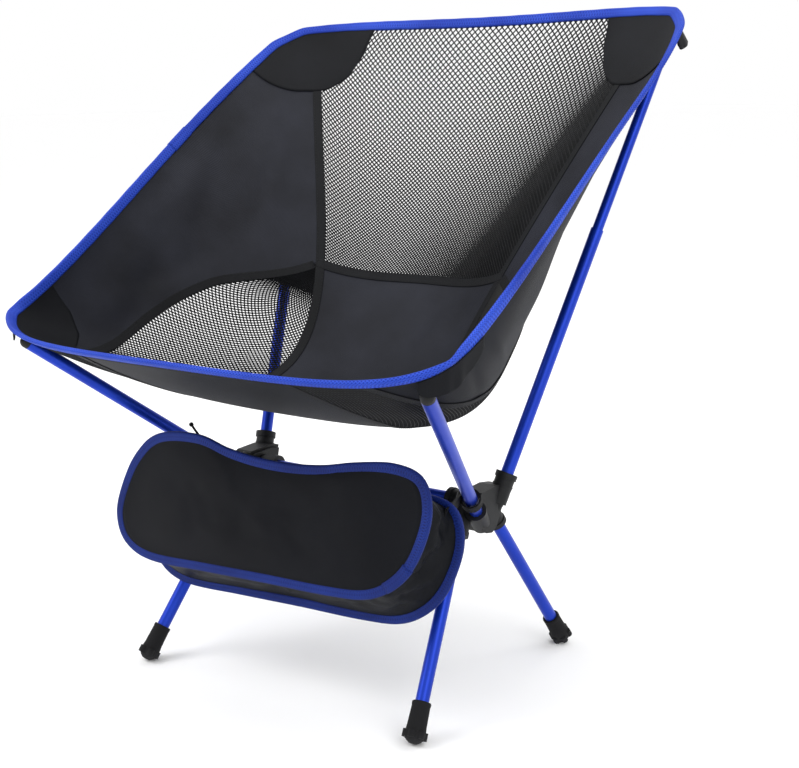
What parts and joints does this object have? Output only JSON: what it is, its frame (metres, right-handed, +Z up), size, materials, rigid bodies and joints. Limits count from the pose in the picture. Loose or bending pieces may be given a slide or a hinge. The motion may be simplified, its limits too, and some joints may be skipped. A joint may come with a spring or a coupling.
{
  "type": "ultralight backpacking chair",
  "caption": "Low packable camping chair: a hung fabric and mesh seat on a blue tube frame with moulded hubs, and a zipped storage bag slung at the front.",
  "frame": {"origin": "on the ground below the middle of the chair's overall width and depth", "axes": "+Z up, the sitter faces -Y, +X to the right of someone looking at the chair's front"},
  "size_m": [0.5508, 0.5317, 0.6669],
  "materials": {
    "anodised_tube": "blue anodised",
    "hub_plastic": "moulded",
    "foot_rubber": "moulded",
    "tip_plastic": "moulded",
    "elastic_cord": "braided",
    "mesh_cloth": "open knitted mesh",
    "seat_binding": "woven tape",
    "bag_binding": "woven tape",
    "bag_lining": "plain weave",
    "webbing": "woven webbing",
    "zip_metal": "satin",
    "zip_tape": "coil zip",
    "bag_cloth": "plain weave",
    "seat_cloth": "plain weave"
  },
  "bodies": {
    "frame": {"crossbar": "anodised_tube", "hub_left": "hub_plastic", "hub_right": "hub_plastic", "back_pole_lower_left": "anodised_tube", "back_pole_lower_right": "anodised_tube", "shock_cord_left": "elastic_cord", "shock_cord_right": "elastic_cord", "crossbar_cord": "elastic_cord"},
    "front_leg_unit_left": {"front_leg_left": "anodised_tube", "front_foot_left": "foot_rubber"},
    "rear_leg_unit_left": {"rear_leg_left": "anodised_tube", "rear_foot_left": "foot_rubber"},
    "seat_pole_unit_left": {"seat_pole_left": "anodised_tube", "seat_tip_left": "tip_plastic"},
    "back_pole_unit_left": {"back_pole_upper_left": "anodised_tube", "back_tip_left": "tip_plastic"},
    "front_leg_unit_right": {"front_leg_right": "anodised_tube", "front_foot_right": "foot_rubber"},
    "rear_leg_unit_right": {"rear_leg_right": "anodised_tube", "rear_foot_right": "foot_rubber"},
    "seat_pole_unit_right": {"seat_pole_right": "anodised_tube", "seat_tip_right": "tip_plastic"},
    "back_pole_unit_right": {"back_pole_upper_right": "anodised_tube", "back_tip_right": "tip_plastic"},
    "seat": {"seat_panel": "seat_cloth", "back_mesh": "mesh_cloth", "side_panel_left": "seat_cloth", "side_panel_right": "seat_cloth", "side_mesh_left": "mesh_cloth", "side_mesh_right": "mesh_cloth", "front_patch_left": "seat_cloth", "front_patch_right": "seat_cloth", "back_patch_left": "seat_cloth", "back_patch_right": "seat_cloth", "front_pocket_left": "seat_cloth", "front_pocket_right": "seat_cloth", "back_pocket_left": "seat_cloth", "back_pocket_right": "seat_cloth", "seam_tape_left": "seat_cloth", "seam_tape_right": "seat_cloth", "edge_binding": "seat_binding", "seam_tape_cross": "seat_cloth"},
    "bag": {"bag_front_panel": "bag_cloth", "bag_rear_panel": "bag_cloth", "bag_gusset": "bag_lining", "bag_front_binding": "bag_binding", "bag_rear_binding": "bag_binding", "bag_zip_tape": "zip_tape", "bag_strap_left": "webbing", "bag_strap_right": "webbing"},
    "zip": {"zip_slider": "zip_metal"}
  },
  "joints": [
    {"name": "seat_lift", "type": "slide", "parent": "frame", "child": "seat", "axis": [0, 0, 1], "range_m": [0, 0.12]},
    {"name": "front_leg_pull_left", "type": "slide", "parent": "frame", "child": "front_leg_unit_left", "axis": [-0.1329, -0.583, -0.8016], "range_m": [0, 0.025], "stiffness_N_per_m": 150, "springref_m": -0.03},
    {"name": "rear_leg_pull_left", "type": "slide", "parent": "frame", "child": "rear_leg_unit_left", "axis": [-0.0879, 0.5627, -0.822], "range_m": [0, 0.025], "stiffness_N_per_m": 150, "springref_m": -0.03},
    {"name": "seat_pole_pull_left", "type": "slide", "parent": "frame", "child": "seat_pole_unit_left", "axis": [-0.3083, -0.7369, 0.6016], "range_m": [0, 0.024]},
    {"name": "back_pole_pull_left", "type": "slide", "parent": "frame", "child": "back_pole_unit_left", "axis": [-0.1545, 0.4148, 0.8967], "range_m": [0, 0.03]},
    {"name": "front_leg_pull_right", "type": "slide", "parent": "frame", "child": "front_leg_unit_right", "axis": [0.1329, -0.583, -0.8016], "range_m": [0, 0.025], "stiffness_N_per_m": 150, "springref_m": -0.03},
    {"name": "rear_leg_pull_right", "type": "slide", "parent": "frame", "child": "rear_leg_unit_right", "axis": [0.0879, 0.5627, -0.822], "range_m": [0, 0.025], "stiffness_N_per_m": 150, "springref_m": -0.03},
    {"name": "seat_pole_pull_right", "type": "slide", "parent": "frame", "child": "seat_pole_unit_right", "axis": [0.3083, -0.7369, 0.6016], "range_m": [0, 0.024]},
    {"name": "back_pole_pull_right", "type": "slide", "parent": "frame", "child": "back_pole_unit_right", "axis": [0.1545, 0.4148, 0.8967], "range_m": [0, 0.03]},
    {"name": "bag_swing", "type": "hinge", "parent": "frame", "child": "bag", "pos_m": [0, -0.04428, 0.206], "axis": [-1, 0, 0], "range_deg": [0, 15]},
    {"name": "zip_travel", "type": "hinge", "parent": "bag", "child": "zip", "pos_m": [0.022, -0.131, 0.60481], "axis": [0, -1, 0], "range_deg": [0, 24]}
  ],
  "couplings": [
    {"joint": "seat_pole_pull_left", "follows": "seat_lift", "ratio": 0.2},
    {"joint": "back_pole_pull_left", "follows": "seat_lift", "ratio": 0.25},
    {"joint": "seat_pole_pull_right", "follows": "seat_lift", "ratio": 0.2},
    {"joint": "back_pole_pull_right", "follows": "seat_lift", "ratio": 0.25}
  ]
}
